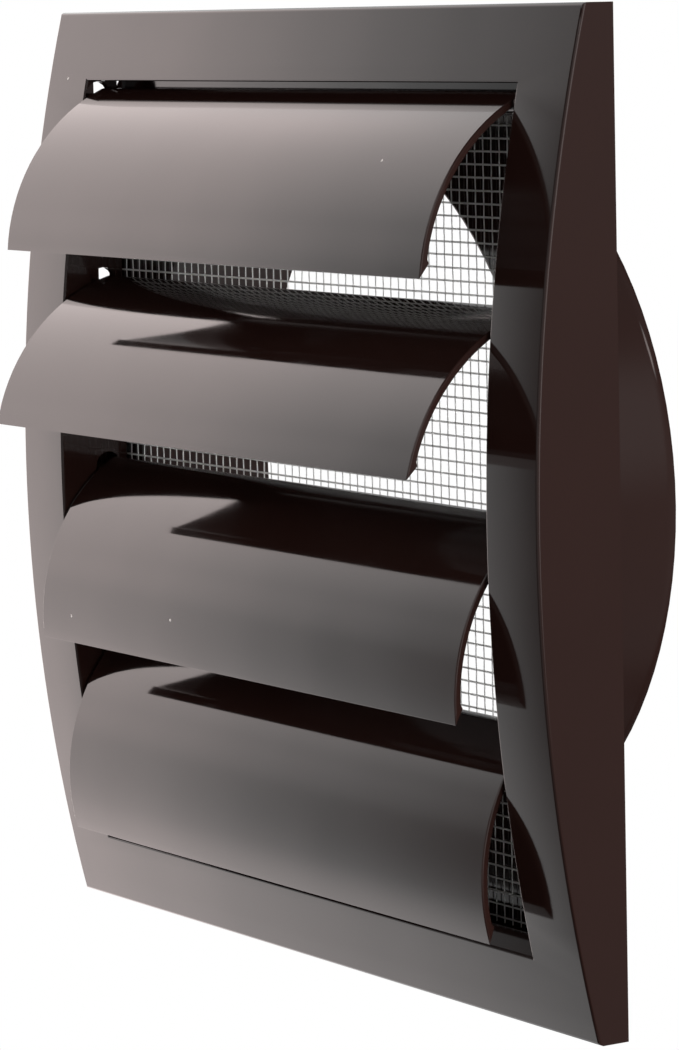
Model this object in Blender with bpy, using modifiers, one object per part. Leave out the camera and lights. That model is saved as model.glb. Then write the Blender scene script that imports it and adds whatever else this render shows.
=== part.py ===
"""Louvred wall cover for a round duct: bulged frame, four gravity flaps, insect screen and duct plate.

Metres, +Z up. The front faces -Y, the wall is the plane Y = 0, and the spigot runs into the wall
along +Y. The origin is on the spigot's axis, in the wall plane.
"""

import math

import bmesh
import bpy
from mathutils import Matrix, Vector

MM = 0.001
GAP = 0.3 * MM  # what touching pieces keep between them
WELD = 0.01 * MM  # points closer than this are one

# Duct plate
SPIGOT_RADIUS = 74.25 * MM
SPIGOT_WALL = 1.9 * MM
SPIGOT_LENGTH = 28.9 * MM
SPIGOT_ROOT_RADIUS = 1.2 * MM
LEAD_IN_LENGTH = 2.8 * MM
LEAD_IN_DEPTH = 0.9 * MM
BORE_MOUTH_RADIUS = 0.8 * MM
PLATE_MARGIN = 11.75 * MM  # spigot to the plate's edge, at the middle of each side
PLATE_CORNER_RADIUS = 20.0 * MM
PLATE_WALL = 1.5 * MM
FIXING_INSET_X = 20.0 * MM  # plate's edge to a fixing hole's axis
FIXING_INSET_Z = 22.0 * MM
FIXING_HOLE_RADIUS = 2.2 * MM
FIXING_HEAD_RADIUS = 3.4 * MM
FIXING_HEAD_DEPTH = 0.9 * MM

# Snap joints between the frame and the duct plate, one at the middle of each side
LATCH_LENGTH = 22.0 * MM
LATCH_WALL = 1.5 * MM
LATCH_HEIGHT = 4.6 * MM  # from the plate's front
LATCH_INSET = 0.7 * MM  # plate's edge to the latch wall's outer face
LATCH_SLOT_HEIGHT = 2.2 * MM
LATCH_SLOT_BASE = 1.2 * MM  # plate's front to the slot
SNAP_ARM_LENGTH = 12.0 * MM
SNAP_ARM_WALL = 1.4 * MM
SNAP_TOOTH = 1.1 * MM
SNAP_ARM_END = 0.5 * MM  # arm's end to the plate's front

# Front frame
RIM_PAST_PLATE = 9.0 * MM  # plate's edge to the frame's outer face
EDGE_DEPTH = 6.5 * MM  # wall plane to the frame's front, at its top and bottom edges
BULGE = 12.0 * MM  # how much further the front stands out at mid height
FRAME_WALL = 2.0 * MM
FRAME_EDGE_RADIUS = 0.7 * MM
RETURN_WALL = 1.8 * MM  # walls that run back from the window's edges
RETURN_TO_LATCH_X = 3.5 * MM  # clear space between a side rail and a latch wall
RETURN_TO_LATCH_Z = 1.3 * MM
WINDOW_EDGE_RADIUS = 0.5 * MM
SILL_LIP_WALL = 1.2 * MM  # along its top
SILL_LIP_HEIGHT = 3.7 * MM
SILL_LIP_LEAN = math.radians(12)  # how far its front leans back

# Flaps
FLAP_COUNT = 4
FLAP_OVER_PITCH = 1.0 * MM  # how much shorter a flap is than the distance between pins
FLAP_RADIUS = 39.0 * MM  # outside of the blade's arc
FLAP_WALL = 1.4 * MM
FLAP_LIP_WALL = 1.9 * MM  # at the ridge behind the tip
FLAP_LIP_LENGTH = 3.1 * MM  # tip to ridge, along the slanted seat
FLAP_LIP_EASE = 0.8 * MM  # ridge to the blade's plain back
FLAP_END_GAP = 1.3 * MM  # flap's end to the window's edge
FLAP_EDGE_RADIUS = 0.3 * MM
BEAD_RADIUS = 2.3 * MM  # rolled top edge, flush with the blade's outside
BEAD_RISE = 1.05 * MM  # pin axis up to the bead's, the chord hanging straight down
BEAD_TOP_GAP = 0.3 * MM  # top flap's bead to the window's top wall
SILL_GAP = 0.95 * MM  # what the flaps' pitches leave free above the sill
PIN_RADIUS = 1.1 * MM
PIN_UNDER_SKIN = 1.2 * MM  # blade's outside to the pin axis
PIN_ROOT = 2.0 * MM  # how far a pin runs into the flap
PIN_END_GAP = 2.6 * MM  # pin's end to the latch wall beside it
PIN_HOLE_BACK = 1.4 * MM  # the hole's centre lies this far behind the pin's
PIN_HOLE_RISE = 0.5 * MM  # and this far above it
PIN_HOLE_GAP = 0.4 * MM  # least gap between the pin and its hole
PIN_DEPTH = 8.6 * MM  # pin axis to the wall plane
SILL_CLOSED_ANGLE = math.radians(1.0)  # lowest flap's chord to the vertical, shut on the sill's lip
REST_ANGLES = [math.radians(a) for a in (35.8, 43.0, 25.2, 14.5)]  # as photographed, top to bottom

# Insect screen
SCREEN_WALL = 0.5 * MM
SCREEN_STRAND = 0.6 * MM
SCREEN_CELLS = 15

ARC_STEPS = 36  # facets along the frame's bulge
BLADE_STEPS = 18
ROUND_STEPS = 96
BEAD_STEPS = 24
SMALL_ROUND_STEPS = 16
FILLET_STEPS = 3
EDGE_STEPS = 2
CORNER_STEPS = 6
SMOOTH_ANGLE = math.radians(30)
FLAT_ANGLE = math.radians(0.1)  # faces that meet flatter than this are one

# Sizes that follow from the ones above
HALF_PLATE = SPIGOT_RADIUS + PLATE_MARGIN
HALF_FRAME = HALF_PLATE + RIM_PAST_PLATE
LATCH_INNER = HALF_PLATE - LATCH_INSET - LATCH_WALL
HALF_WINDOW_X = LATCH_INNER - RETURN_TO_LATCH_X - RETURN_WALL
HALF_WINDOW_Z = LATCH_INNER - RETURN_TO_LATCH_Z - RETURN_WALL
SCREEN_BACK = PLATE_WALL + GAP
RETURN_END = SCREEN_BACK + SCREEN_WALL + GAP  # wall plane to the end of the return walls
FLAP_HALF_LENGTH = HALF_WINDOW_X - FLAP_END_GAP
PIN_HALF_LENGTH = LATCH_INNER - PIN_END_GAP
PIN_HOLE_RADIUS = PIN_RADIUS + math.hypot(PIN_HOLE_BACK, PIN_HOLE_RISE) + PIN_HOLE_GAP
TOP_PIN_Z = HALF_WINDOW_Z - BEAD_TOP_GAP - BEAD_RADIUS - BEAD_RISE
FLAP_PITCH = (TOP_PIN_Z + HALF_WINDOW_Z - SILL_GAP) / FLAP_COUNT
FLAP_CHORD = FLAP_PITCH - FLAP_OVER_PITCH  # pin axis to the tip's outer edge
PIN_Z = [TOP_PIN_Z - i * FLAP_PITCH for i in range(FLAP_COUNT)]
PIN_TO_CENTRE = FLAP_RADIUS - PIN_UNDER_SKIN  # pin axis to the centre of the blade's arc
CENTRE_DOWN = (FLAP_CHORD**2 + PIN_TO_CENTRE**2 - FLAP_RADIUS**2) / (2 * FLAP_CHORD)
CENTRE_BACK = math.sqrt(PIN_TO_CENTRE**2 - CENTRE_DOWN**2)
TIP_TURN = math.atan2(FLAP_CHORD - CENTRE_DOWN, CENTRE_BACK)  # tip below the level of the centre
RIDGE_TURN = TIP_TURN - FLAP_LIP_LENGTH / FLAP_RADIUS
FRONT_RADIUS = (HALF_FRAME**2 + BULGE**2) / (2 * BULGE)
SLACK = 5.0 * MM  # how far a cutter reaches past what it cuts


def clear_scene():
    for old in list(bpy.data.objects):
        bpy.data.objects.remove(old, do_unlink=True)


def collection(name):
    made = bpy.data.collections.new(name)
    bpy.context.scene.collection.children.link(made)
    return made


def material(name, colour, roughness):
    """A moulded plastic: one colour, no metal."""
    made = bpy.data.materials.new(name)
    made.use_nodes = True
    shader = made.node_tree.nodes["Principled BSDF"]
    shader.inputs["Base Color"].default_value = (*colour, 1.0)
    shader.inputs["Roughness"].default_value = roughness
    shader.inputs["Metallic"].default_value = 0.0
    return made


def new_object(name, mesh):
    made = bpy.data.objects.new(name, mesh)
    bpy.context.scene.collection.objects.link(made)
    return made


def mesh_object(name, shape):
    """An object from a bmesh, which is freed."""
    mesh = bpy.data.meshes.new(name)
    bmesh.ops.recalc_face_normals(shape, faces=shape.faces)
    shape.to_mesh(mesh)
    shape.free()
    return new_object(name, mesh)


def box(low, high):
    """A box between two corners."""
    shape = bmesh.new()
    size = [b - a for a, b in zip(low, high)]
    middle = [(a + b) / 2 for a, b in zip(low, high)]
    move = Matrix.Translation(middle) @ Matrix.Diagonal((*size, 1.0))
    bmesh.ops.create_cube(shape, size=1.0, matrix=move)
    return mesh_object("box", shape)


def cone(centre, direction, length, radius_1, radius_2, steps):
    """A cylinder or cone that starts at centre and runs along direction."""
    shape = bmesh.new()
    turn = Vector(direction).to_track_quat("Z", "Y").to_matrix().to_4x4()
    middle = Vector(centre) + Vector(direction) * (length / 2)
    bmesh.ops.create_cone(
        shape,
        cap_ends=True,
        segments=steps,
        radius1=radius_1,
        radius2=radius_2,
        depth=length,
        matrix=Matrix.Translation(middle) @ turn,
    )
    return mesh_object("cone", shape)


def pushed(outline, push):
    """The bmesh of a flat closed outline of 3-D points, pushed along a vector."""
    shape = bmesh.new()
    face = shape.faces.new([shape.verts.new(point) for point in outline])
    made = bmesh.ops.extrude_face_region(shape, geom=[face])
    moved = [v for v in made["geom"] if isinstance(v, bmesh.types.BMVert)]
    bmesh.ops.translate(shape, verts=moved, vec=push)
    return shape


def prism_x(outline, half_length, edge_radius=0.0):
    """The (y, z) outline pushed out both ways along X, with its two end edges rounded."""
    shape = pushed([(-half_length, y, z) for y, z in outline], (2 * half_length, 0, 0))
    if edge_radius:
        ends = [e for e in shape.edges if abs(e.verts[0].co.x - e.verts[1].co.x) < edge_radius]
        bmesh.ops.bevel(
            shape, geom=ends, offset=edge_radius, segments=EDGE_STEPS, profile=0.5, affect="EDGES"
        )
    return mesh_object("prism", shape)


def turned_y(profile, steps=ROUND_STEPS):
    """A solid of revolution about the Y axis from (radius, y) points that start and end on the axis."""
    mesh = bpy.data.meshes.new("turned")
    edges = [(i, i + 1) for i in range(len(profile) - 1)]
    mesh.from_pydata([(r, y, 0.0) for r, y in profile], edges, [])
    made = new_object("turned", mesh)
    screw = made.modifiers.new("Turn", "SCREW")
    screw.axis = "Y"
    screw.steps = steps
    screw.render_steps = steps
    screw.use_merge_vertices = True
    screw.merge_threshold = WELD
    return bake(made)


def bake(made):
    """Replaces an object's mesh with the evaluated one, faces outward."""
    bpy.context.view_layer.update()
    graph = bpy.context.evaluated_depsgraph_get()
    mesh = bpy.data.meshes.new_from_object(made.evaluated_get(graph))
    made.modifiers.clear()
    made.data = mesh
    shape = bmesh.new()
    shape.from_mesh(mesh)
    bmesh.ops.recalc_face_normals(shape, faces=shape.faces)
    shape.to_mesh(mesh)
    shape.free()
    return made


def combine(made, tool, operation):
    """Joins a tool to an object, cuts it out, or keeps what both share. The tool is used up."""
    step = made.modifiers.new(operation, "BOOLEAN")
    step.operation = operation
    step.solver = "EXACT"
    step.object = tool
    bake(made)
    bpy.data.objects.remove(tool, do_unlink=True)
    return made


def cut(made, tool):
    return combine(made, tool, "DIFFERENCE")


def join(made, tool):
    return combine(made, tool, "UNION")


def round_edges(made, chosen, radius, segments=EDGE_STEPS):
    """Rounds the edges for which chosen(edge) is true."""
    shape = bmesh.new()
    shape.from_mesh(made.data)
    bmesh.ops.dissolve_limit(shape, angle_limit=FLAT_ANGLE, verts=shape.verts, edges=shape.edges)
    edges = [e for e in shape.edges if chosen(e)]
    bmesh.ops.bevel(
        shape, geom=edges, offset=radius, segments=segments, profile=0.5, affect="EDGES"
    )
    shape.to_mesh(made.data)
    shape.free()
    return made


def finish(made, name, finish_material, parts):
    """Names a piece, gives it its material and smooth round faces, and files it with the parts."""
    made.name = name
    made.data.name = name
    made.data.materials.clear()
    made.data.materials.append(finish_material)
    made.data.shade_smooth()
    made.data.set_sharp_from_angle(angle=SMOOTH_ANGLE)
    for old in list(made.users_collection):
        old.objects.unlink(made)
    parts.objects.link(made)
    return made


def front_depth(z):
    """How far the frame's front stands out from the wall plane at a height."""
    return EDGE_DEPTH + BULGE - FRONT_RADIUS + math.sqrt(FRONT_RADIUS**2 - z**2)


def bulged_outline(inset):
    """The frame's side outline in (y, z), with its front and its top and bottom set in by inset."""
    half = HALF_FRAME - inset
    outline = [(0.0, -half)]
    for i in range(ARC_STEPS + 1):
        z = -half + 2 * half * i / ARC_STEPS
        outline.append((-front_depth(z) + inset, z))
    outline.append((0.0, half))
    return outline


def window_tube():
    """The walls that run back from the window, as a block with the frame's bulged front."""
    block = prism_x(bulged_outline(FRAME_WALL / 2), HALF_WINDOW_X + RETURN_WALL)
    limit = box(
        (-HALF_FRAME, -HALF_FRAME, -HALF_WINDOW_Z - RETURN_WALL),
        (HALF_FRAME, -RETURN_END, HALF_WINDOW_Z + RETURN_WALL),
    )
    return combine(block, limit, "INTERSECT")


def quarter_turn(made, quarters):
    """Turns a piece about the spigot's axis by right angles."""
    made.data.transform(Matrix.Rotation(quarters * math.pi / 2, 4, "Y"))
    return made


def snap_arm(side_half, front_y):
    """An arm with a wedge tooth, on the +X side. front_y is where it grows out of the frame."""
    inner = HALF_PLATE - LATCH_INSET + GAP
    outer = inner + SNAP_ARM_WALL
    back = -(PLATE_WALL + SNAP_ARM_END)
    tooth_top = -(PLATE_WALL + LATCH_SLOT_BASE + LATCH_SLOT_HEIGHT - GAP)
    tooth_end = -(PLATE_WALL + LATCH_SLOT_BASE + GAP)
    outline = [
        (outer, front_y),
        (outer, back),
        (inner, back),
        (inner, tooth_end),
        (inner - SNAP_TOOTH, (tooth_end + tooth_top) / 2),
        (inner - SNAP_TOOTH, tooth_top),
        (inner, tooth_top),
        (inner, front_y),
    ]
    shape = pushed([(x, y, -side_half) for x, y in outline], (0, 0, 2 * side_half))
    return mesh_object("snap_arm", shape)


def pin_holes():
    """Round holes through the two side rails, a little above and behind each pin's axis."""
    holes = []
    for z in PIN_Z:
        for side in (-1, 1):
            start = (
                side * (HALF_WINDOW_X - FLAP_END_GAP),
                -PIN_DEPTH + PIN_HOLE_BACK,
                z + PIN_HOLE_RISE,
            )
            length = RETURN_WALL + 2 * FLAP_END_GAP
            holes.append(
                cone(start, (side, 0, 0), length, PIN_HOLE_RADIUS, PIN_HOLE_RADIUS, SMALL_ROUND_STEPS)
            )
    return holes


def on_front(vertex, tolerance=2 * WELD):
    """True for a point on one of the front's flat facets, whose chord lies just under the arc."""
    sagitta = (2 * HALF_FRAME / ARC_STEPS) ** 2 / (8 * FRONT_RADIUS)
    behind = vertex.co.y + front_depth(vertex.co.z)
    return -tolerance < behind < sagitta + tolerance


def window_edge(edge):
    """True for an edge where the window meets the frame's front."""
    middle = (edge.verts[0].co + edge.verts[1].co) / 2
    across = abs(abs(middle.x) - HALF_WINDOW_X) < WELD and abs(middle.z) < HALF_WINDOW_Z + GAP
    along = abs(abs(middle.z) - HALF_WINDOW_Z) < WELD and abs(middle.x) < HALF_WINDOW_X + GAP
    return (across or along) and all(on_front(v) for v in edge.verts)


def front_frame(plastic, parts):
    frame = prism_x(bulged_outline(0.0), HALF_FRAME)
    frame = round_edges(frame, outer_front_edge, FRAME_EDGE_RADIUS)
    hollow = prism_x(
        [(y + SLACK if y == 0.0 else y, z) for y, z in bulged_outline(FRAME_WALL)],
        HALF_FRAME - FRAME_WALL,
    )
    frame = cut(frame, hollow)
    frame = join(frame, window_tube())
    window = box(
        (-HALF_WINDOW_X, -HALF_FRAME, -HALF_WINDOW_Z), (HALF_WINDOW_X, SLACK, HALF_WINDOW_Z)
    )
    frame = cut(frame, window)
    frame = round_edges(frame, window_edge, WINDOW_EDGE_RADIUS)
    arm_root = HALF_PLATE
    for quarters in range(4):
        sideways = quarters % 2 == 0
        reach = front_depth(SNAP_ARM_LENGTH / 2 if sideways else arm_root + SNAP_ARM_WALL)
        arm = snap_arm(SNAP_ARM_LENGTH / 2, -reach + FRAME_WALL / 2)
        frame = join(frame, quarter_turn(arm, quarters))
    frame = join(frame, sill_lip())
    for hole in pin_holes():
        frame = cut(frame, hole)
    return finish(frame, "front_frame", plastic, parts)


def outer_front_edge(edge):
    """True for the outer edges of the frame's front: both curved sides, top and bottom."""
    if not all(on_front(v) for v in edge.verts):
        return False
    middle = (edge.verts[0].co + edge.verts[1].co) / 2
    at_side = abs(abs(middle.x) - HALF_FRAME) < WELD
    at_end = abs(abs(middle.z) - HALF_FRAME) < WELD
    return at_side or at_end


def blade_point(radius, turn):
    """The (y, z) place about the pin axis at a radius round the blade's centre, turned up from level."""
    return CENTRE_BACK - radius * math.cos(turn), radius * math.sin(turn) - CENTRE_DOWN


def blade_arc(radius, start, end):
    """Points from one turn round the blade's centre to another."""
    turns = [start + (end - start) * i / BLADE_STEPS for i in range(BLADE_STEPS + 1)]
    return [blade_point(radius, turn) for turn in turns]


def bead_arc(bead_turn):
    """The rolled bead's points, from the blade's outside over the top to the blade's inside."""
    to_centre = FLAP_RADIUS - BEAD_RADIUS
    middle_y, middle_z = blade_point(to_centre, bead_turn)
    inside = FLAP_RADIUS - FLAP_WALL
    opening = math.acos(
        (inside**2 - to_centre**2 - BEAD_RADIUS**2) / (2 * to_centre * BEAD_RADIUS)
    )
    start = math.pi - bead_turn
    sweep = 2 * math.pi - opening
    points = []
    for i in range(BEAD_STEPS + 1):
        turn = start - sweep * i / BEAD_STEPS
        y = middle_y + BEAD_RADIUS * math.cos(turn)
        z = middle_z + BEAD_RADIUS * math.sin(turn)
        points.append((y, z))
    return points


def flap_outline():
    """The flap's (y, z) outline about the pin axis, its chord hanging straight down.

    The outside is one smooth line from the tip over the rolled bead. Behind the tip the wall
    swells to a ridge, and from there a flat seat slants down to the tip.
    """
    bead_turn = math.asin((BEAD_RISE + CENTRE_DOWN) / (FLAP_RADIUS - BEAD_RADIUS))
    outside = blade_arc(FLAP_RADIUS, -TIP_TURN, bead_turn)
    bead = bead_arc(bead_turn)
    meeting_y, meeting_z = bead[-1]
    meeting_turn = math.atan2(meeting_z + CENTRE_DOWN, CENTRE_BACK - meeting_y)
    plain_turn = RIDGE_TURN - FLAP_LIP_EASE / FLAP_RADIUS
    inside = blade_arc(FLAP_RADIUS - FLAP_WALL, meeting_turn, -plain_turn)
    return outside + bead[1:] + inside[1:] + [lip_ridge()]


def lip_ridge():
    """The (y, z) place of the ridge behind the tip, about the pin axis."""
    return blade_point(FLAP_RADIUS - FLAP_LIP_WALL, -RIDGE_TURN)


def sill_lip():
    """The rib on the sill whose slanted front the lowest flap's tip closes on."""
    tip_y = -PIN_DEPTH - FLAP_CHORD * math.sin(SILL_CLOSED_ANGLE)
    tip_z = PIN_Z[-1] - FLAP_CHORD * math.cos(SILL_CLOSED_ANGLE)
    low = -HALF_WINDOW_Z - GAP
    high = -HALF_WINDOW_Z + SILL_LIP_HEIGHT
    seat_y = tip_y + GAP
    low_y = seat_y - (tip_z - low) * math.tan(SILL_LIP_LEAN)
    high_y = seat_y + (high - tip_z) * math.tan(SILL_LIP_LEAN)
    back_y = high_y + SILL_LIP_WALL
    outline = [(low_y, low), (high_y, high), (back_y, high), (back_y, low)]
    return prism_x(outline, HALF_WINDOW_X + GAP)


def flap_mesh(plastic, parts):
    """One flap about its pin axis: blade, rolled top bead and two pins."""
    flap = prism_x(flap_outline(), FLAP_HALF_LENGTH, FLAP_EDGE_RADIUS)
    root = FLAP_HALF_LENGTH - PIN_ROOT
    for side in (-1, 1):
        pin = cone(
            (side * root, 0, 0),
            (side, 0, 0),
            PIN_HALF_LENGTH - root,
            PIN_RADIUS,
            PIN_RADIUS,
            SMALL_ROUND_STEPS,
        )
        flap = join(flap, pin)
    return finish(flap, "flap_1", plastic, parts)


def flaps(plastic, parts):
    """Four flaps that share one mesh, each with its origin on its pin axis."""
    first = flap_mesh(plastic, parts)
    for index, angle in enumerate(REST_ANGLES):
        flap = first
        if index:
            flap = bpy.data.objects.new(f"flap_{index + 1}", first.data)
            parts.objects.link(flap)
        flap.location = (0.0, -PIN_DEPTH, PIN_Z[index])
        flap.rotation_euler = (-angle, 0.0, 0.0)


def fillet(wall_radius, face_y, fillet_radius):
    """The (radius, y) points of a quarter round from a flat face into a round wall behind it."""
    points = []
    for i in range(FILLET_STEPS + 1):
        turn = i / FILLET_STEPS * math.pi / 2
        out = fillet_radius * (1 - math.sin(turn))
        back = fillet_radius * (1 - math.cos(turn))
        points.append((wall_radius + out, face_y + back))
    return points


def spigot_profile():
    """The spigot's outside in (radius, y), front to back, closed on the axis."""
    return (
        [(0.0, -PLATE_WALL / 2), (SPIGOT_RADIUS + SPIGOT_ROOT_RADIUS, -PLATE_WALL / 2)]
        + fillet(SPIGOT_RADIUS, 0.0, SPIGOT_ROOT_RADIUS)
        + [
            (SPIGOT_RADIUS, SPIGOT_LENGTH - LEAD_IN_LENGTH),
            (SPIGOT_RADIUS - LEAD_IN_DEPTH, SPIGOT_LENGTH),
            (0.0, SPIGOT_LENGTH),
        ]
    )


def bore_profile():
    """The bore's cutter in (radius, y), with the rounded mouth at the plate's front."""
    bore = SPIGOT_RADIUS - SPIGOT_WALL
    return (
        [(0.0, -PLATE_WALL - SLACK), (bore + BORE_MOUTH_RADIUS, -PLATE_WALL - SLACK)]
        + fillet(bore, -PLATE_WALL, BORE_MOUTH_RADIUS)
        + [(bore, SPIGOT_LENGTH + SLACK), (0.0, SPIGOT_LENGTH + SLACK)]
    )


def rounded_plate():
    plate = box((-HALF_PLATE, -PLATE_WALL, -HALF_PLATE), (HALF_PLATE, 0.0, HALF_PLATE))
    return round_edges(
        plate,
        lambda e: abs(e.verts[0].co.y - e.verts[1].co.y) > PLATE_WALL / 2,
        PLATE_CORNER_RADIUS,
        segments=CORNER_STEPS,
    )


def latch_wall():
    """The slotted wall on the +X side that a snap arm's tooth clicks into."""
    outer = LATCH_INNER + LATCH_WALL
    front = -(PLATE_WALL + LATCH_HEIGHT)
    wall = box(
        (LATCH_INNER, front, -LATCH_LENGTH / 2), (outer, -PLATE_WALL / 2, LATCH_LENGTH / 2)
    )
    slot_half = SNAP_ARM_LENGTH / 2 + GAP
    slot_end = -(PLATE_WALL + LATCH_SLOT_BASE)
    slot = box(
        (LATCH_INNER - SLACK, slot_end - LATCH_SLOT_HEIGHT, -slot_half),
        (outer + SLACK, slot_end, slot_half),
    )
    return cut(wall, slot)


def fixing_cutters():
    """Countersunk holes near the plate's corners, cut from the front."""
    cutters = []
    half_x = HALF_PLATE - FIXING_INSET_X
    half_z = HALF_PLATE - FIXING_INSET_Z
    for x in (-half_x, half_x):
        for z in (-half_z, half_z):
            hole = cone(
                (x, -PLATE_WALL - SLACK, z),
                (0, 1, 0),
                PLATE_WALL + 2 * SLACK,
                FIXING_HOLE_RADIUS,
                FIXING_HOLE_RADIUS,
                SMALL_ROUND_STEPS,
            )
            spread = FIXING_HEAD_RADIUS - FIXING_HOLE_RADIUS
            head = cone(
                (x, -PLATE_WALL - FIXING_HEAD_DEPTH, z),
                (0, 1, 0),
                2 * FIXING_HEAD_DEPTH,
                FIXING_HEAD_RADIUS + spread,
                FIXING_HOLE_RADIUS,
                SMALL_ROUND_STEPS,
            )
            cutters += [hole, head]
    return cutters


def duct_plate(plastic, parts):
    plate = join(rounded_plate(), turned_y(spigot_profile()))
    plate = cut(plate, turned_y(bore_profile()))
    for quarters in range(4):
        plate = join(plate, quarter_turn(latch_wall(), quarters))
    for cutter in fixing_cutters():
        plate = cut(plate, cutter)
    return finish(plate, "duct_plate", plastic, parts)


def rectangle(curve, low_x, low_z, high_x, high_z):
    """Adds a closed rectangle to a flat curve."""
    spline = curve.splines.new("POLY")
    corners = [(low_x, low_z), (high_x, low_z), (high_x, high_z), (low_x, high_z)]
    spline.points.add(len(corners) - 1)
    for point, (x, z) in zip(spline.points, corners):
        point.co = (x, z, 0.0, 1.0)
    spline.use_cyclic_u = True


def insect_screen(plastic, parts):
    """A square net that fills the window, in a border behind the frame's return walls."""
    half_x = HALF_WINDOW_X + RETURN_WALL
    half_z = HALF_WINDOW_Z + RETURN_WALL
    curve = bpy.data.curves.new("screen", "CURVE")
    curve.dimensions = "2D"
    curve.fill_mode = "BOTH"
    curve.extrude = SCREEN_WALL / 2
    rectangle(curve, -half_x, -half_z, half_x, half_z)
    step_x = 2 * HALF_WINDOW_X / SCREEN_CELLS
    step_z = 2 * HALF_WINDOW_Z / SCREEN_CELLS
    for column in range(SCREEN_CELLS):
        for row in range(SCREEN_CELLS):
            low_x = -HALF_WINDOW_X + column * step_x + SCREEN_STRAND / 2
            low_z = -HALF_WINDOW_Z + row * step_z + SCREEN_STRAND / 2
            rectangle(
                curve, low_x, low_z, low_x + step_x - SCREEN_STRAND, low_z + step_z - SCREEN_STRAND
            )
    flat = bpy.data.objects.new("screen_curve", curve)
    bpy.context.scene.collection.objects.link(flat)
    screen = new_object("screen", bpy.data.meshes.new("screen"))
    bpy.context.view_layer.update()
    graph = bpy.context.evaluated_depsgraph_get()
    screen.data = bpy.data.meshes.new_from_object(flat.evaluated_get(graph))
    bpy.data.objects.remove(flat, do_unlink=True)
    shape = bmesh.new()
    shape.from_mesh(screen.data)
    bmesh.ops.remove_doubles(shape, verts=shape.verts, dist=WELD)
    upright = Matrix.Rotation(math.pi / 2, 3, "X")
    bmesh.ops.rotate(shape, verts=shape.verts, cent=(0, 0, 0), matrix=upright)
    middle = SCREEN_BACK + SCREEN_WALL / 2
    bmesh.ops.translate(shape, verts=shape.verts, vec=(0, -middle, 0))
    bmesh.ops.recalc_face_normals(shape, faces=shape.faces)
    shape.to_mesh(screen.data)
    shape.free()
    return finish(screen, "insect_screen", plastic, parts)


def build():
    clear_scene()
    parts = collection("dryer_vent_cover")
    brown = material("gloss_brown_plastic", (0.034, 0.018, 0.015), 0.12)
    net = material("pale_net_plastic", (0.52, 0.51, 0.49), 0.45)
    front_frame(brown, parts)
    flaps(brown, parts)
    duct_plate(brown, parts)
    insect_screen(net, parts)


build()
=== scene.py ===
"""Looks of the dryer vent cover: moulded plastic, a fine insect net, the studio and the camera."""

import math

import bmesh
import bpy
from mathutils import Matrix, Vector


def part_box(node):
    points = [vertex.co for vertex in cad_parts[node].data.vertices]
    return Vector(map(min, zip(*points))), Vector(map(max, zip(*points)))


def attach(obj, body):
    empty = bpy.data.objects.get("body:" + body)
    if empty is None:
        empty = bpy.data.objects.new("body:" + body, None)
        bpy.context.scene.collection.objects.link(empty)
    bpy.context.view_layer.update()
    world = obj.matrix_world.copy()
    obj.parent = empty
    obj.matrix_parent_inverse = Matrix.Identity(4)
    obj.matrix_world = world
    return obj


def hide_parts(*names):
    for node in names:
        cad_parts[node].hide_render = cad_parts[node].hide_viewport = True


MM = 0.001
X_AXIS = Vector((1, 0, 0))
Y_AXIS = Vector((0, 1, 0))
Z_AXIS = Vector((0, 0, 1))
WHITE = (1.0, 1.0, 1.0)
FLAP_COUNT = 4

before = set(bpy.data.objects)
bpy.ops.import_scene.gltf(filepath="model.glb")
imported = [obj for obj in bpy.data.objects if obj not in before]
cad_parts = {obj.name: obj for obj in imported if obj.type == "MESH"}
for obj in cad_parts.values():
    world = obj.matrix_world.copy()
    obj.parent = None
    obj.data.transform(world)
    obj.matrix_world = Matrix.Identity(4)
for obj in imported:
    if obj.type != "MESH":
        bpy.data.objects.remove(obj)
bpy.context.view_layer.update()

# Camera: where it stands, seen from the origin, and how it is turned there, in degrees
CAMERA_AZIMUTH = 57.28
CAMERA_ELEVATION = 6.18
CAMERA_ROLL = 1.29
CAMERA_TILT = 0.48
CAMERA_PAN = 0.02
CAMERA_DISTANCE = 0.8903
CAMERA_CLIP = 0.01
CAMERA_SENSOR = 36.0
CAMERA_LENS = 153.3

# Shape of the net
NET_PITCH_X = 2.67 * MM
NET_PITCH_Z = 2.46 * MM
NET_TOP = 75.1 * MM  # its first row
NET_BOTTOM = -77.0 * MM
NET_FRINGE = 1.0 * MM  # how far the columns run past the first and last row
NET_ROW_RADIUS = 0.19 * MM
NET_COLUMN_RADIUS = 0.125 * MM
NET_WEAVE = 0.03 * MM  # how far a strand swings to each side at its crossings
NET_SIDES = 8

# Finish of the net
NET_DULL = (0.84, 0.84, 0.83)
NET_BRIGHT = (0.95, 0.95, 0.94)
NET_MOTTLE = 900.0  # waves per metre
NET_ROUGHNESS = 0.38
NET_CLEARNESS = 0.45  # share of the light that passes into a strand
NET_IOR = 1.2

# Shape of the moulded pieces' skin
FRAME_EDGE = 0.07 * MM
FLAP_EDGE = 0.16 * MM
PLATE_EDGE = 0.15 * MM
EDGE_SEGMENTS = 2
EDGE_ANGLE = math.radians(38)
SMOOTH_ANGLE = math.radians(50)
FLAT_ANGLE = math.radians(0.05)
FLAT_WEIGHT = 100
WELD = 0.001 * MM

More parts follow.
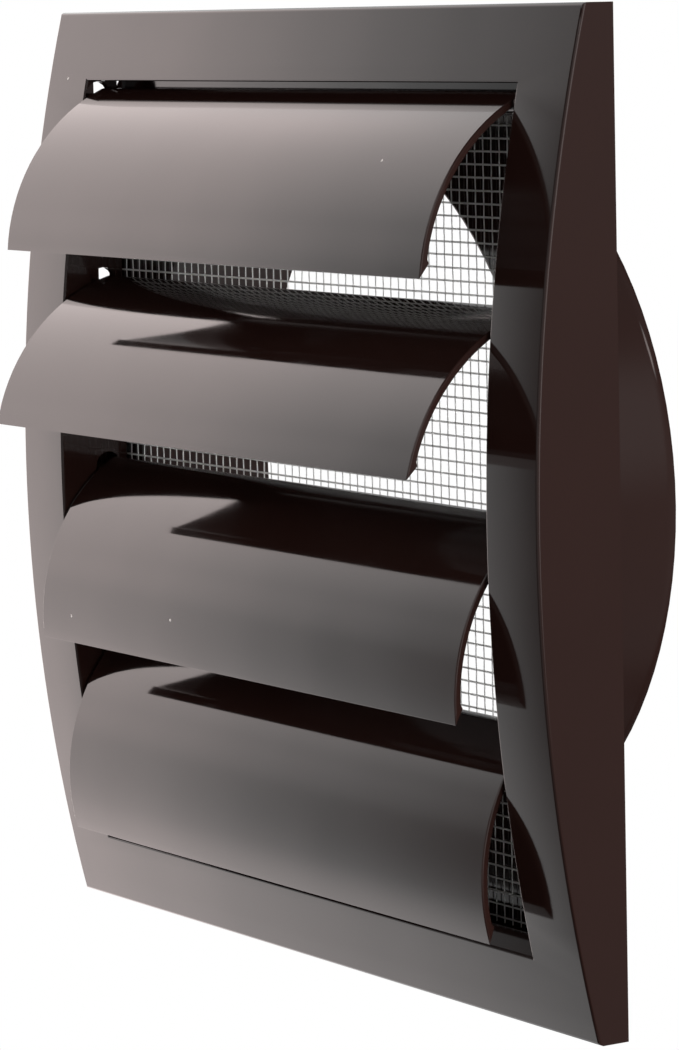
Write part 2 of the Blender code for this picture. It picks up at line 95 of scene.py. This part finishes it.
# Finish of the moulded pieces; patterns are in waves per metre
BROWN_DARK = (0.0165, 0.0069, 0.0055)
BROWN_LIGHT = (0.0195, 0.0081, 0.0065)
BROWN_FLOW = 35.0
BROWN_IOR = 1.5
GLOSS_HAZE = 60.0
GLOSS_ROUGHNESS = (0.05, 0.09)  # in the clear and the hazy places
SKIN_WAVES = 22.0
SKIN_DEPTH = 1.0 * MM
SKIN_STRENGTH = 0.07
DUST_COLOUR = (0.80, 0.76, 0.72)
DUST_SPACING = 13.0 * MM
DUST_RADIUS = 0.32 * MM
DUST_SHARE = 0.35  # share of the places, a spacing apart, that have a speck
NOISE_MIDDLE = (0.3, 0.7)  # the values between which nearly all of a noise lies

# Floor, which turns white between two distances from the part
FLOOR_Z = -0.30
FLOOR_SIZE = 8.0
FLOOR_GREY = (0.8, 0.8, 0.8)
FLOOR_ROUGHNESS = 0.9
FLOOR_FADE = (0.40, 0.70)
FLOOR_WHITE = (0.5, 1.0)  # share of white at the first distance and at the second

# Surround: its dimmest level, and the levels between which it turns warm
SURROUND_DIM = 0.04
SURROUND_WARM = (1.14, 1.0, 0.975)
SURROUND_WARM_LEVELS = (1.0, 2.5)

# Panels of light in the surround. Azimuth 0 is the front and 90 the right. Angles are in degrees, and
# full is the share of a panel's reach that has its whole level.
WINDOW = dict(azimuth=-86.3, elevation=0, half_width=35.4, half_height=44.8, full=0.62, level=1.9)
WINDOW_CORE = dict(azimuth=-94.5, elevation=0, half_width=38.5, half_height=35.5, full=0.87, level=0.6)
WINDOW_FOOT = dict(azimuth=-60, elevation=-26, half_width=12, half_height=12, full=0.2, level=0.2)
WINDOW_HEAD = dict(azimuth=-57, elevation=11, half_width=10, half_height=8, full=0.2, level=0.15)
RIGHT_STRIP = dict(azimuth=95, elevation=5, half_width=15, half_height=20, full=0.5, level=1.4)
RIGHT_WALL = dict(azimuth=123, elevation=-10, half_width=48, half_height=50, full=0.5, level=0.15)
RIGHT_WALL_TOP = dict(azimuth=123, elevation=14, half_width=26, half_height=22, full=0.2, level=0.24)
REAR_WALL = dict(azimuth=150, elevation=35, half_width=30, half_height=24, full=0.4, level=0.1)
REAR_GLEAM = dict(azimuth=151, elevation=27, half_width=5, half_height=8, full=0.3, level=2.5)
GROUND = dict(azimuth=60, elevation=-75, half_width=48, half_height=48, full=0.5, level=0.7)
FRONT_TOP = dict(azimuth=2, elevation=38, half_width=42, half_height=24, full=0.3, level=1.3)
FRONT_WALL = dict(azimuth=-4, elevation=2, half_width=50, half_height=34, full=0.1, level=0.35)
FRONT_RIGHT = dict(azimuth=56, elevation=8, half_width=24, half_height=34, full=0.2, level=0.9)
PANELS = (
    WINDOW, WINDOW_CORE, WINDOW_FOOT, WINDOW_HEAD,
    RIGHT_STRIP, RIGHT_WALL, RIGHT_WALL_TOP, REAR_WALL, REAR_GLEAM,
    GROUND, FRONT_TOP, FRONT_WALL, FRONT_RIGHT,
)
PANEL_BEHIND = 0.001  # the least that a direction counts as pointing at a panel

# Lamps that point at the origin: angles in degrees, sizes in metres, power in watts
SIDE_LAMP = dict(azimuth=91, elevation=3, distance=0.9, width=0.6, height=0.4, power=9.0)
BACK_LAMP = dict(azimuth=180, elevation=5, distance=0.6, width=0.4, height=0.4, power=4.5)


def new_material(name):
    """A material with its node tree and its shader."""
    made = bpy.data.materials.new(name)
    made.use_nodes = True
    tree = made.node_tree
    shader = tree.nodes["Principled BSDF"]
    return made, tree, shader


def add_node(tree, kind, **settings):
    """A new node of a tree, with its settings."""
    node = tree.nodes.new(kind)
    for key, value in settings.items():
        setattr(node, key, value)
    return node


def joined(tree, operation, *values):
    """A maths node over sockets or numbers."""
    made = add_node(tree, "ShaderNodeMath", operation=operation)
    for socket, value in zip(made.inputs, values):
        if isinstance(value, (int, float)):
            socket.default_value = value
        else:
            tree.links.new(value, socket)
    return made.outputs[0]


def ranged(tree, source, source_range, result_range, interpolation="LINEAR"):
    """Maps a value from one range to another and clamps it."""
    made = add_node(tree, "ShaderNodeMapRange", interpolation_type=interpolation)
    for name, value in zip(("From Min", "From Max"), source_range):
        made.inputs[name].default_value = value
    for name, value in zip(("To Min", "To Max"), result_range):
        made.inputs[name].default_value = value
    tree.links.new(source, made.inputs["Value"])
    return made.outputs["Result"]


def mixed_colour(tree, factor, colour_a, colour_b):
    """A colour between two, each a socket or three numbers."""
    made = add_node(tree, "ShaderNodeMix", data_type="RGBA")
    for name, colour in {"A": colour_a, "B": colour_b}.items():
        if isinstance(colour, tuple):
            made.inputs[name].default_value = (*colour, 1.0)
        else:
            tree.links.new(colour, made.inputs[name])
    tree.links.new(factor, made.inputs["Factor"])
    return made.outputs["Result"]


def mixed_shader(tree, factor, first, second):
    """The first shader where the factor is zero, and the second where it is one."""
    made = add_node(tree, "ShaderNodeMixShader")
    tree.links.new(factor, made.inputs["Fac"])
    tree.links.new(first, made.inputs[1])
    tree.links.new(second, made.inputs[2])
    return made.outputs[0]


def noise(tree, scale, detail, roughness=0.5):
    """A noise in object space; its scale is in waves per metre."""
    place = add_node(tree, "ShaderNodeTexCoord")
    made = add_node(tree, "ShaderNodeTexNoise")
    made.inputs["Scale"].default_value = scale
    made.inputs["Detail"].default_value = detail
    made.inputs["Roughness"].default_value = roughness
    tree.links.new(place.outputs["Object"], made.inputs["Vector"])
    return made.outputs["Fac"]


def specks(tree, spacing, radius, share):
    """One in sparse round specks and zero elsewhere: of cells a spacing wide, a share has a speck."""
    place = add_node(tree, "ShaderNodeTexCoord")
    cells = add_node(tree, "ShaderNodeTexVoronoi")
    cells.inputs["Scale"].default_value = 1 / spacing
    tree.links.new(place.outputs["Object"], cells.inputs["Vector"])
    chance = add_node(tree, "ShaderNodeSeparateColor")
    tree.links.new(cells.outputs["Color"], chance.inputs["Color"])
    near = joined(tree, "LESS_THAN", cells.outputs["Distance"], radius / spacing)
    there = joined(tree, "LESS_THAN", chance.outputs["Red"], share)
    return joined(tree, "MULTIPLY", near, there)


def gloss_brown():
    """Dark brown moulded plastic: high gloss, with a faint flow pattern and the odd speck of dust."""
    made, tree, shader = new_material("gloss_brown_plastic")
    flow = noise(tree, BROWN_FLOW, detail=3.0, roughness=0.6)
    plain = mixed_colour(tree, flow, BROWN_DARK, BROWN_LIGHT)
    dust = specks(tree, DUST_SPACING, DUST_RADIUS, DUST_SHARE)
    base = mixed_colour(tree, dust, plain, DUST_COLOUR)
    tree.links.new(base, shader.inputs["Base Color"])
    haze = noise(tree, GLOSS_HAZE, detail=4.0, roughness=0.65)
    tree.links.new(ranged(tree, haze, NOISE_MIDDLE, GLOSS_ROUGHNESS), shader.inputs["Roughness"])
    shader.inputs["IOR"].default_value = BROWN_IOR
    bump = add_node(tree, "ShaderNodeBump")
    bump.inputs["Strength"].default_value = SKIN_STRENGTH
    bump.inputs["Distance"].default_value = SKIN_DEPTH
    tree.links.new(noise(tree, SKIN_WAVES, detail=1.0), bump.inputs["Height"])
    tree.links.new(bump.outputs["Normal"], shader.inputs["Normal"])
    return made


def pale_net():
    """Pale translucent net strands, slightly mottled."""
    made, tree, shader = new_material("pale_net_plastic")
    mottle = noise(tree, NET_MOTTLE, detail=2.0)
    tree.links.new(mixed_colour(tree, mottle, NET_DULL, NET_BRIGHT), shader.inputs["Base Color"])
    shader.inputs["Roughness"].default_value = NET_ROUGHNESS
    shader.inputs["Transmission Weight"].default_value = NET_CLEARNESS
    shader.inputs["IOR"].default_value = NET_IOR
    return made


def smooth_by_angle(limit):
    """A node group that shades faces smoothly and keeps edges sharper than the limit."""
    group = bpy.data.node_groups.new("smooth_by_angle", "GeometryNodeTree")
    group.interface.new_socket("Geometry", in_out="INPUT", socket_type="NodeSocketGeometry")
    group.interface.new_socket("Geometry", in_out="OUTPUT", socket_type="NodeSocketGeometry")
    entry = add_node(group, "NodeGroupInput")
    leave = add_node(group, "NodeGroupOutput")
    angle = add_node(group, "GeometryNodeInputMeshEdgeAngle")
    blunt = add_node(group, "FunctionNodeCompare", operation="LESS_THAN")
    blunt.inputs["B"].default_value = limit
    faces = add_node(group, "GeometryNodeSetShadeSmooth", domain="FACE")
    edges = add_node(group, "GeometryNodeSetShadeSmooth", domain="EDGE")
    group.links.new(entry.outputs[0], faces.inputs["Geometry"])
    group.links.new(faces.outputs["Geometry"], edges.inputs["Geometry"])
    group.links.new(angle.outputs["Unsigned Angle"], blunt.inputs["A"])
    group.links.new(blunt.outputs["Result"], edges.inputs["Shade Smooth"])
    group.links.new(edges.outputs["Geometry"], leave.inputs[0])
    return group


def smooth_skin(node, finish, smoothing, edge_radius):
    """Gives a CAD node its finish, and modifiers that soften its edges and shade its curves smoothly."""
    node.data.materials.clear()
    node.data.materials.append(finish)
    weld = node.modifiers.new("Weld", "WELD")
    weld.merge_threshold = WELD
    flat = node.modifiers.new("Planar", "DECIMATE")
    flat.decimate_type = "DISSOLVE"
    flat.angle_limit = FLAT_ANGLE
    edge = node.modifiers.new("Soft edges", "BEVEL")
    edge.width = edge_radius
    edge.segments = EDGE_SEGMENTS
    edge.limit_method = "ANGLE"
    edge.angle_limit = EDGE_ANGLE
    edge.use_clamp_overlap = False
    smooth = node.modifiers.new("Smooth", "NODES")
    smooth.node_group = smoothing
    level = node.modifiers.new("Flat faces first", "WEIGHTED_NORMAL")
    level.keep_sharp = True
    level.weight = FLAT_WEIGHT


def strand(centres, radius, first, second):
    """The rings of points of a tube along the centres; first and second are directions across it."""
    turns = [2 * math.pi * side / NET_SIDES for side in range(NET_SIDES)]
    circle = [first * (radius * math.cos(turn)) + second * (radius * math.sin(turn)) for turn in turns]
    return [[centre + offset for offset in circle] for centre in centres]


def tube_mesh(name, tubes):
    """One mesh of closed tubes, each a list of rings of points."""
    shape = bmesh.new()
    for rings in tubes:
        made = [[shape.verts.new(point) for point in ring] for ring in rings]
        for first, second in zip(made, made[1:]):
            for i in range(len(first)):
                j = (i + 1) % len(first)
                shape.faces.new((first[i], first[j], second[j], second[i]))
        shape.faces.new(list(reversed(made[0])))
        shape.faces.new(made[-1])
    bmesh.ops.recalc_face_normals(shape, faces=shape.faces)
    mesh = bpy.data.meshes.new(name)
    shape.to_mesh(mesh)
    shape.free()
    mesh.shade_smooth()
    piece = bpy.data.objects.new(name, mesh)
    bpy.context.scene.collection.objects.link(piece)
    return piece


def swing(crossing):
    """How far a row lies behind the net's middle at a crossing: to one side and the other by turns."""
    return NET_WEAVE if crossing % 2 else -NET_WEAVE


def insect_net(finish):
    """The woven net across the window: rows, and columns that swing the other way at each crossing."""
    low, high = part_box("insect_screen")
    middle = (low + high) / 2
    last_column = round((high.x - low.x) / NET_PITCH_X)
    xs = [middle.x + (column - last_column / 2) * NET_PITCH_X for column in range(last_column + 1)]
    last_row = round((NET_TOP - NET_BOTTOM) / NET_PITCH_Z)
    zs = [NET_TOP - row * NET_PITCH_Z for row in range(last_row + 1)]
    tubes = []
    for row, z in enumerate(zs):
        centres = [Vector((x, middle.y + swing(row + column), z)) for column, x in enumerate(xs)]
        tubes.append(strand(centres, NET_ROW_RADIUS, Z_AXIS, Y_AXIS))
    for column, x in enumerate(xs):
        top = Vector((x, middle.y, NET_TOP + NET_FRINGE))
        centres = [Vector((x, middle.y - swing(row + column), z)) for row, z in enumerate(zs)]
        bottom = Vector((x, middle.y, zs[-1] - NET_FRINGE))
        tubes.append(strand([top, *centres, bottom], NET_COLUMN_RADIUS, Y_AXIS, X_AXIS))
    net = tube_mesh("insect_net", tubes)
    net.data.materials.append(finish)
    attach(net, "root")
    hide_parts("insect_screen")


def axes_towards(azimuth, elevation):
    """Unit vectors out to a direction in degrees, to its right and up."""
    a = math.radians(azimuth)
    e = math.radians(elevation)
    out = Vector((math.sin(a) * math.cos(e), -math.cos(a) * math.cos(e), math.sin(e)))
    right = Vector((math.cos(a), math.sin(a), 0.0))
    return out, right, out.cross(right)


def along(tree, direction, axis):
    """How far a direction goes along an axis."""
    made = add_node(tree, "ShaderNodeVectorMath", operation="DOT_PRODUCT")
    made.inputs[1].default_value = axis
    tree.links.new(direction, made.inputs[0])
    return made.outputs["Value"]


def soft_panel(tree, direction, azimuth, elevation, half_width, half_height, full, level):
    """Light of a soft elliptical panel in a direction: whole out to the full share of its reach."""
    out, right, up = axes_towards(azimuth, elevation)
    ahead = joined(tree, "MAXIMUM", along(tree, direction, out), PANEL_BEHIND)
    across = along(tree, direction, right / math.tan(math.radians(half_width)))
    high = along(tree, direction, up / math.tan(math.radians(half_height)))
    squares = [joined(tree, "MULTIPLY", side, side) for side in (across, high)]
    radial = joined(tree, "SQRT", joined(tree, "ADD", *squares))
    reach = joined(tree, "DIVIDE", radial, ahead)
    return ranged(tree, reach, (full, 1.0), (level, 0.0), "SMOOTHSTEP")


def surround_level(tree, direction):
    """How bright the surround is in a direction from the part."""
    total = SURROUND_DIM
    for panel in PANELS:
        total = joined(tree, "ADD", soft_panel(tree, direction, **panel), total)
    return total


def shown_to_camera(tree):
    """One for rays from the camera, also those that pass through a strand, and zero for others."""
    rays = add_node(tree, "ShaderNodeLightPath")
    return joined(tree, "MAXIMUM", rays.outputs["Is Camera Ray"], rays.outputs["Is Transmission Ray"])


def studio_floor():
    """A pale floor under the part, which fades to the white surround away from it."""
    bpy.ops.mesh.primitive_plane_add(size=FLOOR_SIZE, location=(0, 0, FLOOR_Z))
    floor = bpy.context.object
    floor.name = "studio_floor"
    made, tree, shader = new_material("pale_floor")
    shader.inputs["Base Color"].default_value = (*FLOOR_GREY, 1.0)
    shader.inputs["Roughness"].default_value = FLOOR_ROUGHNESS
    white = add_node(tree, "ShaderNodeEmission")
    white.inputs["Color"].default_value = (*WHITE, 1.0)
    place = add_node(tree, "ShaderNodeTexCoord")
    distance = add_node(tree, "ShaderNodeVectorMath", operation="LENGTH")
    tree.links.new(place.outputs["Object"], distance.inputs[0])
    fade = ranged(tree, distance.outputs["Value"], FLOOR_FADE, FLOOR_WHITE)
    share = joined(tree, "MULTIPLY", shown_to_camera(tree), fade)
    ground = mixed_shader(tree, share, shader.outputs[0], white.outputs[0])
    tree.links.new(ground, tree.nodes["Material Output"].inputs["Surface"])
    floor.data.materials.append(made)
    floor.visible_glossy = False
    floor.visible_diffuse = False


def studio_world():
    """White to the camera. Reflections and light come from a surround that is brightest at the left."""
    world = bpy.data.worlds.new("studio")
    bpy.context.scene.world = world
    world.use_nodes = True
    tree = world.node_tree
    surround = tree.nodes["Background"]
    place = add_node(tree, "ShaderNodeTexCoord")
    level = surround_level(tree, place.outputs["Generated"])
    tree.links.new(level, surround.inputs["Strength"])
    warmth = ranged(tree, level, SURROUND_WARM_LEVELS, (0.0, 1.0))
    tree.links.new(mixed_colour(tree, warmth, WHITE, SURROUND_WARM), surround.inputs["Color"])
    white = add_node(tree, "ShaderNodeBackground")
    white.inputs["Color"].default_value = (*WHITE, 1.0)
    seen = mixed_shader(tree, shown_to_camera(tree), surround.outputs[0], white.outputs[0])
    tree.links.new(seen, tree.nodes["World Output"].inputs["Surface"])


def soft_lamp(name, azimuth, elevation, distance, width, height, power):
    """An upright area lamp that points at the origin and isn't mirrored."""
    lamp = bpy.data.lights.new(name, "AREA")
    lamp.shape = "RECTANGLE"
    lamp.size = width
    lamp.size_y = height
    lamp.energy = power
    lamp_object = bpy.data.objects.new(name, lamp)
    bpy.context.scene.collection.objects.link(lamp_object)
    out, right, up = axes_towards(azimuth, elevation)
    turn = Matrix((right, up, out)).transposed()
    lamp_object.matrix_world = Matrix.Translation(out * distance) @ turn.to_4x4()
    lamp_object.visible_glossy = False


def camera():
    """The photograph's camera, from its angles about the origin."""
    out, right, up = axes_towards(CAMERA_AZIMUTH, CAMERA_ELEVATION)
    turn = (
        Matrix.Rotation(math.radians(CAMERA_ROLL), 3, "Z")
        @ Matrix.Rotation(math.radians(CAMERA_TILT), 3, "X")
        @ Matrix.Rotation(math.radians(CAMERA_PAN), 3, "Y")
        @ Matrix((right, up, out))
    )
    lens = bpy.data.cameras.new("camera")
    lens.sensor_width = CAMERA_SENSOR
    lens.lens = CAMERA_LENS
    lens.clip_start = CAMERA_CLIP
    seen = bpy.data.objects.new("camera", lens)
    bpy.context.scene.collection.objects.link(seen)
    seen.matrix_world = Matrix.Translation(out * CAMERA_DISTANCE) @ turn.transposed().to_4x4()
    bpy.context.scene.camera = seen


def build():
    """Dresses the CAD nodes, adds the net, and sets up the studio and the camera."""
    brown = gloss_brown()
    smoothing = smooth_by_angle(SMOOTH_ANGLE)
    smooth_skin(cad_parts["front_frame"], brown, smoothing, FRAME_EDGE)
    smooth_skin(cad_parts["duct_plate"], brown, smoothing, PLATE_EDGE)
    for number in range(1, FLAP_COUNT + 1):
        smooth_skin(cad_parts[f"flap_{number}"], brown, smoothing, FLAP_EDGE)
    insect_net(pale_net())
    studio_floor()
    studio_world()
    soft_lamp("side_lamp", **SIDE_LAMP)
    soft_lamp("back_lamp", **BACK_LAMP)
    camera()
    bpy.context.scene.view_settings.view_transform = "Standard"


build()
